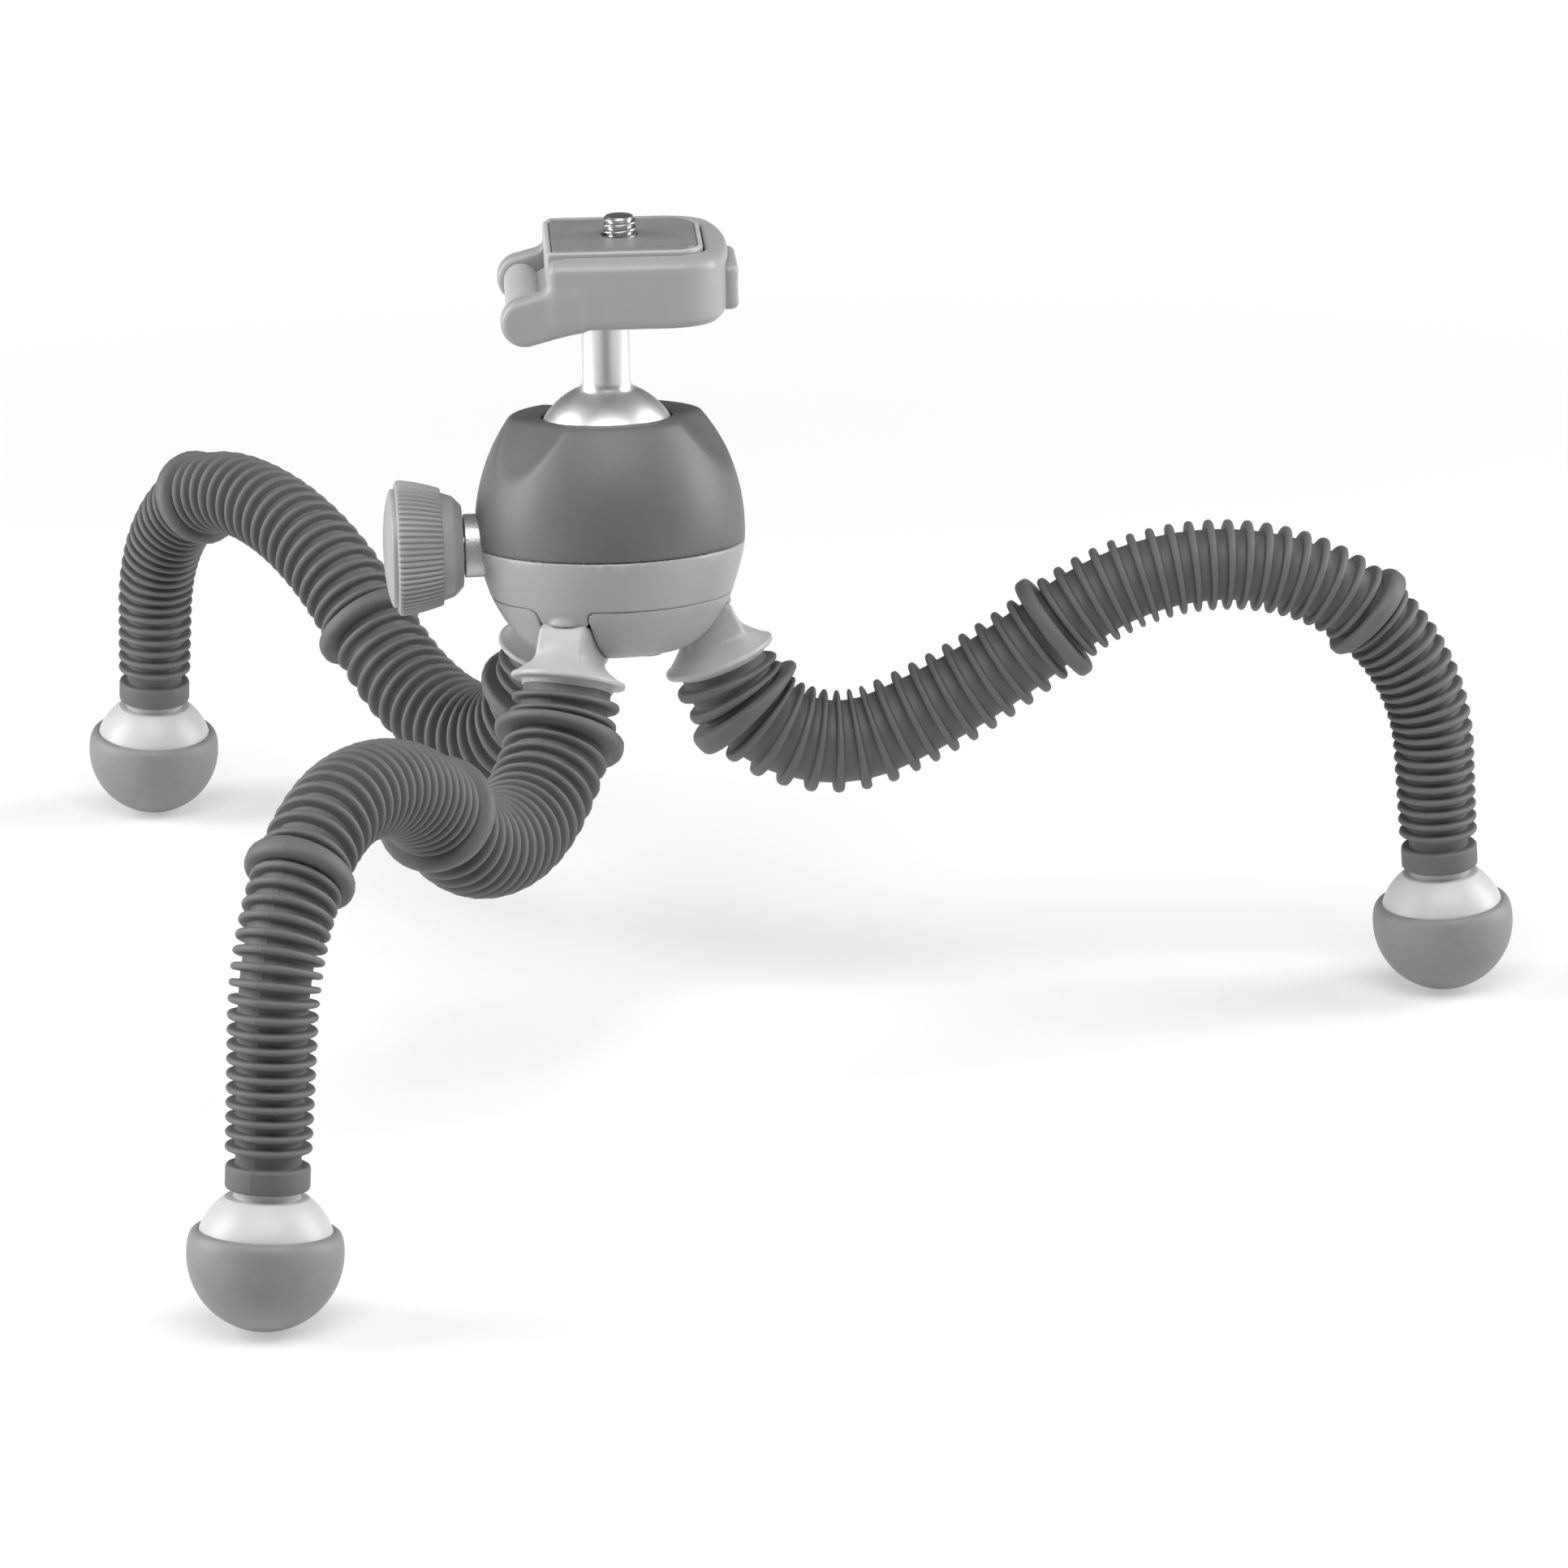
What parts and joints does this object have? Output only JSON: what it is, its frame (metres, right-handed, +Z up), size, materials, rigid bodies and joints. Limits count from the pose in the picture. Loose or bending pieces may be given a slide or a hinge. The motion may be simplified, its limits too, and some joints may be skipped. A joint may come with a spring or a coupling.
{
  "type": "flexible leg tripod",
  "caption": "Small tripod with bendable ribbed rubber legs on a domed hub, a lockable ball head and a flip-up camera plate with a captive screw.",
  "frame": {"origin": "on the floor, at the centre of the box round the three feet", "axes": "+Z up along the camera screw, +X along the right leg, -Y towards the viewer"},
  "size_m": [0.2724, 0.3138, 0.1565],
  "materials": {
    "leg_rubber": "matte, ribbed",
    "foot_rubber": "satin",
    "pad_rubber": "satin",
    "dark_plastic": "fine texture",
    "light_plastic": "satin",
    "pale_plastic": "satin",
    "turned_aluminium": "satin",
    "steel": "bright",
    "dark_steel": "blackened",
    "silver_paint": "metallic paint"
  },
  "bodies": {
    "hub": {"upper_shell": "dark_plastic", "lower_shell": "light_plastic", "bottom_cover": "light_plastic", "cover_screws": "dark_steel", "shell_screws": "dark_steel", "screw_boss": "silver_paint", "right_socket": "pale_plastic", "right_core_wire": "turned_aluminium", "right_sleeve_1": "leg_rubber", "back_socket": "pale_plastic", "back_core_wire": "turned_aluminium", "back_sleeve_1": "leg_rubber", "front_socket": "pale_plastic", "front_core_wire": "turned_aluminium", "front_sleeve_1": "leg_rubber"},
    "cup": {"ball_cup": "pale_plastic"},
    "ball": {"ball_stem": "turned_aluminium", "head_frame": "light_plastic", "base_screw": "dark_steel", "hinge_pin": "steel", "button_spring": "steel"},
    "plate": {"mount_plate": "pale_plastic", "camera_pad": "pad_rubber", "screw_retainer": "dark_steel"},
    "camera_screw": {"camera_screw": "steel"},
    "button": {"release_button": "light_plastic"},
    "wedge": {"lock_wedge": "pale_plastic"},
    "knob": {"lock_knob": "light_plastic", "knob_cap": "light_plastic", "lock_screw": "steel"},
    "right_leg_2": {"right_sleeve_2": "leg_rubber"},
    "right_leg_3": {"right_sleeve_3": "leg_rubber"},
    "right_leg_4": {"right_sleeve_4": "leg_rubber"},
    "right_leg_5": {"right_sleeve_5": "leg_rubber"},
    "right_leg_6": {"right_sleeve_6": "leg_rubber"},
    "right_leg_7": {"right_sleeve_7": "leg_rubber"},
    "right_leg_8": {"right_sleeve_8": "leg_rubber"},
    "right_leg_9": {"right_sleeve_9": "leg_rubber", "right_foot_core": "pale_plastic", "right_foot_cup": "foot_rubber"},
    "back_leg_2": {"back_sleeve_2": "leg_rubber"},
    "back_leg_3": {"back_sleeve_3": "leg_rubber"},
    "back_leg_4": {"back_sleeve_4": "leg_rubber"},
    "back_leg_5": {"back_sleeve_5": "leg_rubber"},
    "back_leg_6": {"back_sleeve_6": "leg_rubber"},
    "back_leg_7": {"back_sleeve_7": "leg_rubber"},
    "back_leg_8": {"back_sleeve_8": "leg_rubber"},
    "back_leg_9": {"back_sleeve_9": "leg_rubber", "back_foot_core": "pale_plastic", "back_foot_cup": "foot_rubber"},
    "front_leg_2": {"front_sleeve_2": "leg_rubber"},
    "front_leg_3": {"front_sleeve_3": "leg_rubber"},
    "front_leg_4": {"front_sleeve_4": "leg_rubber"},
    "front_leg_5": {"front_sleeve_5": "leg_rubber"},
    "front_leg_6": {"front_sleeve_6": "leg_rubber"},
    "front_leg_7": {"front_sleeve_7": "leg_rubber"},
    "front_leg_8": {"front_sleeve_8": "leg_rubber"},
    "front_leg_9": {"front_sleeve_9": "leg_rubber", "front_foot_core": "pale_plastic", "front_foot_cup": "foot_rubber"}
  },
  "joints": [
    {"name": "pan", "type": "hinge", "parent": "hub", "child": "cup", "pos_m": [-0.03654, 0.00834, 0.1103], "axis": [0, 0.1045, 0.9945], "continuous": true},
    {"name": "tilt", "type": "hinge", "parent": "cup", "child": "ball", "pos_m": [-0.03654, 0.00834, 0.1103], "axis": [0.0523, 0.9986, 0], "range_deg": [-28, 28]},
    {"name": "plate_flip", "type": "hinge", "parent": "ball", "child": "plate", "pos_m": [-0.05182, 0.00915, 0.1409], "axis": [-0.0523, -0.9986, 0], "range_deg": [0, 75]},
    {"name": "camera_screw_turn", "type": "hinge", "parent": "plate", "child": "camera_screw", "pos_m": [-0.03355, 0.00819, 0.1529], "axis": [0, 0, 1], "continuous": true},
    {"name": "button_press", "type": "slide", "parent": "ball", "child": "button", "axis": [-0.9986, 0.0523, 0], "range_m": [0, 0.0018], "stiffness_N_per_m": 800, "springref_m": -0.001, "deforming": ["button_spring"]},
    {"name": "wedge_slide", "type": "slide", "parent": "hub", "child": "wedge", "axis": [-0.9998, 0.0174, 0], "range_m": [0, 0.0016]},
    {"name": "knob_turn", "type": "hinge", "parent": "hub", "child": "knob", "pos_m": [-0.06454, 0.00713, 0.09404], "axis": [-0.9998, 0.0174, -0.0018], "range_deg": [0, 720]},
    {"name": "right_lift_1", "type": "hinge", "parent": "hub", "child": "right_leg_2", "pos_m": [-0.00706, 0.00309, 0.05734], "axis": [-0.1235, -0.9923, 0], "range_deg": [-35, 8], "deforming": ["right_sleeve_1", "right_sleeve_2", "right_sleeve_3", "right_sleeve_4", "right_core_wire"]},
    {"name": "right_lift_2", "type": "hinge", "parent": "right_leg_2", "child": "right_leg_3", "pos_m": [0.00787, 0.003, 0.05337], "axis": [-0.0523, -0.9986, 0], "range_deg": [-35, 8], "deforming": ["right_sleeve_1", "right_sleeve_2", "right_sleeve_3", "right_sleeve_4", "right_core_wire"]},
    {"name": "right_lift_3", "type": "hinge", "parent": "right_leg_3", "child": "right_leg_4", "pos_m": [0.0225, 0.00223, 0.05875], "axis": [-0.0523, -0.9986, 0], "range_deg": [-35, 8], "deforming": ["right_sleeve_1", "right_sleeve_2", "right_sleeve_3", "right_sleeve_4", "right_core_wire"]},
    {"name": "right_swing", "type": "hinge", "parent": "right_leg_4", "child": "right_leg_5", "pos_m": [0.03605, 0.00152, 0.06669], "axis": [-0.5518, 0.0289, 0.8335], "range_deg": [-25, 25], "deforming": ["right_sleeve_4", "right_sleeve_5", "right_core_wire"]},
    {"name": "right_knee_1", "type": "hinge", "parent": "right_leg_5", "child": "right_leg_6", "pos_m": [0.05966, 0.00029, 0.0824], "axis": [-0.0523, -0.9986, 0], "range_deg": [-8, 26], "deforming": ["right_sleeve_5", "right_sleeve_6", "right_sleeve_7", "right_core_wire"]},
    {"name": "right_knee_2", "type": "hinge", "parent": "right_leg_6", "child": "right_leg_7", "pos_m": [0.08188, -0.00088, 0.08619], "axis": [-0.0523, -0.9986, 0], "range_deg": [-8, 26], "deforming": ["right_sleeve_5", "right_sleeve_6", "right_sleeve_7", "right_core_wire"]},
    {"name": "right_ankle_1", "type": "hinge", "parent": "right_leg_7", "child": "right_leg_8", "pos_m": [0.1032, -0.002, 0.07906], "axis": [-0.0523, -0.9986, 0], "range_deg": [-8, 36], "deforming": ["right_sleeve_7", "right_sleeve_8", "right_sleeve_9", "right_core_wire"]},
    {"name": "right_ankle_2", "type": "hinge", "parent": "right_leg_8", "child": "right_leg_9", "pos_m": [0.11778, -0.00276, 0.06061], "axis": [-0.0523, -0.9986, 0], "range_deg": [-8, 36], "deforming": ["right_sleeve_7", "right_sleeve_8", "right_sleeve_9", "right_core_wire"]},
    {"name": "back_lift_1", "type": "hinge", "parent": "hub", "child": "back_leg_2", "pos_m": [-0.0508, 0.0276, 0.05418], "axis": [0.8207, 0.5714, 0], "range_deg": [-35, 8], "deforming": ["back_sleeve_1", "back_sleeve_2", "back_sleeve_3", "back_sleeve_4", "back_core_wire"]},
    {"name": "back_lift_2", "type": "hinge", "parent": "back_leg_2", "child": "back_leg_3", "pos_m": [-0.05752, 0.03907, 0.04615], "axis": [0.848, 0.5299, 0], "range_deg": [-35, 8], "deforming": ["back_sleeve_1", "back_sleeve_2", "back_sleeve_3", "back_sleeve_4", "back_core_wire"]},
    {"name": "back_lift_3", "type": "hinge", "parent": "back_leg_3", "child": "back_leg_4", "pos_m": [-0.06578, 0.05229, 0.04585], "axis": [0.848, 0.5299, 0], "range_deg": [-35, 8], "deforming": ["back_sleeve_1", "back_sleeve_2", "back_sleeve_3", "back_sleeve_4", "back_core_wire"]},
    {"name": "back_swing", "type": "hinge", "parent": "back_leg_4", "child": "back_leg_5", "pos_m": [-0.07362, 0.06483, 0.05098], "axis": [0.2524, -0.4039, 0.8793], "range_deg": [-25, 25], "deforming": ["back_sleeve_4", "back_sleeve_5", "back_core_wire"]},
    {"name": "back_knee_1", "type": "hinge", "parent": "back_leg_5", "child": "back_leg_6", "pos_m": [-0.08585, 0.08441, 0.06756], "axis": [0.848, 0.5299, 0], "range_deg": [-8, 26], "deforming": ["back_sleeve_5", "back_sleeve_6", "back_sleeve_7", "back_core_wire"]},
    {"name": "back_knee_2", "type": "hinge", "parent": "back_leg_6", "child": "back_leg_7", "pos_m": [-0.0971, 0.10241, 0.07548], "axis": [0.848, 0.5299, 0], "range_deg": [-8, 26], "deforming": ["back_sleeve_5", "back_sleeve_6", "back_sleeve_7", "back_core_wire"]},
    {"name": "back_ankle_1", "type": "hinge", "parent": "back_leg_7", "child": "back_leg_8", "pos_m": [-0.10904, 0.12152, 0.07465], "axis": [0.848, 0.5299, 0], "range_deg": [-8, 36], "deforming": ["back_sleeve_7", "back_sleeve_8", "back_sleeve_9", "back_core_wire"]},
    {"name": "back_ankle_2", "type": "hinge", "parent": "back_leg_8", "child": "back_leg_9", "pos_m": [-0.1187, 0.13698, 0.06], "axis": [0.848, 0.5299, 0], "range_deg": [-8, 36], "deforming": ["back_sleeve_7", "back_sleeve_8", "back_sleeve_9", "back_core_wire"]},
    {"name": "front_lift_1", "type": "hinge", "parent": "hub", "child": "front_leg_2", "pos_m": [-0.05072, -0.02185, 0.05914], "axis": [-0.9047, 0.4261, 0], "range_deg": [-35, 8], "deforming": ["front_sleeve_1", "front_sleeve_2", "front_sleeve_3", "front_sleeve_4", "front_core_wire"]},
    {"name": "front_lift_2", "type": "hinge", "parent": "front_leg_2", "child": "front_leg_3", "pos_m": [-0.057, -0.03441, 0.05242], "axis": [-0.8988, 0.4384, 0], "range_deg": [-35, 8], "deforming": ["front_sleeve_1", "front_sleeve_2", "front_sleeve_3", "front_sleeve_4", "front_core_wire"]},
    {"name": "front_lift_3", "type": "hinge", "parent": "front_leg_3", "child": "front_leg_4", "pos_m": [-0.06384, -0.04844, 0.05285], "axis": [-0.8988, 0.4384, 0], "range_deg": [-35, 8], "deforming": ["front_sleeve_1", "front_sleeve_2", "front_sleeve_3", "front_sleeve_4", "front_core_wire"]},
    {"name": "front_swing", "type": "hinge", "parent": "front_leg_4", "child": "front_leg_5", "pos_m": [-0.07023, -0.06154, 0.05856], "axis": [0.2239, 0.4591, 0.8597], "range_deg": [-25, 25], "deforming": ["front_sleeve_4", "front_sleeve_5", "front_core_wire"]},
    {"name": "front_knee_1", "type": "hinge", "parent": "front_leg_5", "child": "front_leg_6", "pos_m": [-0.08042, -0.08243, 0.07484], "axis": [-0.8988, 0.4384, 0], "range_deg": [-8, 26], "deforming": ["front_sleeve_5", "front_sleeve_6", "front_sleeve_7", "front_core_wire"]},
    {"name": "front_knee_2", "type": "hinge", "parent": "front_leg_6", "child": "front_leg_7", "pos_m": [-0.08995, -0.10196, 0.08131], "axis": [-0.8988, 0.4384, 0], "range_deg": [-8, 26], "deforming": ["front_sleeve_5", "front_sleeve_6", "front_sleeve_7", "front_core_wire"]},
    {"name": "front_ankle_1", "type": "hinge", "parent": "front_leg_7", "child": "front_leg_8", "pos_m": [-0.09963, -0.12182, 0.07767], "axis": [-0.8988, 0.4384, 0], "range_deg": [-8, 36], "deforming": ["front_sleeve_7", "front_sleeve_8", "front_sleeve_9", "front_core_wire"]},
    {"name": "front_ankle_2", "type": "hinge", "parent": "front_leg_8", "child": "front_leg_9", "pos_m": [-0.10646, -0.13581, 0.0602], "axis": [-0.8988, 0.4384, 0], "range_deg": [-8, 36], "deforming": ["front_sleeve_7", "front_sleeve_8", "front_sleeve_9", "front_core_wire"]}
  ],
  "couplings": [
    {"joint": "wedge_slide", "follows": "knob_turn", "m_per_rad": 0.00012732},
    {"joint": "right_lift_2", "follows": "right_lift_1", "ratio": 1},
    {"joint": "right_lift_3", "follows": "right_lift_1", "ratio": 1},
    {"joint": "right_knee_2", "follows": "right_knee_1", "ratio": 1},
    {"joint": "right_ankle_2", "follows": "right_ankle_1", "ratio": 1},
    {"joint": "back_lift_2", "follows": "back_lift_1", "ratio": 1},
    {"joint": "back_lift_3", "follows": "back_lift_1", "ratio": 1},
    {"joint": "back_knee_2", "follows": "back_knee_1", "ratio": 1},
    {"joint": "back_ankle_2", "follows": "back_ankle_1", "ratio": 1},
    {"joint": "front_lift_2", "follows": "front_lift_1", "ratio": 1},
    {"joint": "front_lift_3", "follows": "front_lift_1", "ratio": 1},
    {"joint": "front_knee_2", "follows": "front_knee_1", "ratio": 1},
    {"joint": "front_ankle_2", "follows": "front_ankle_1", "ratio": 1}
  ]
}
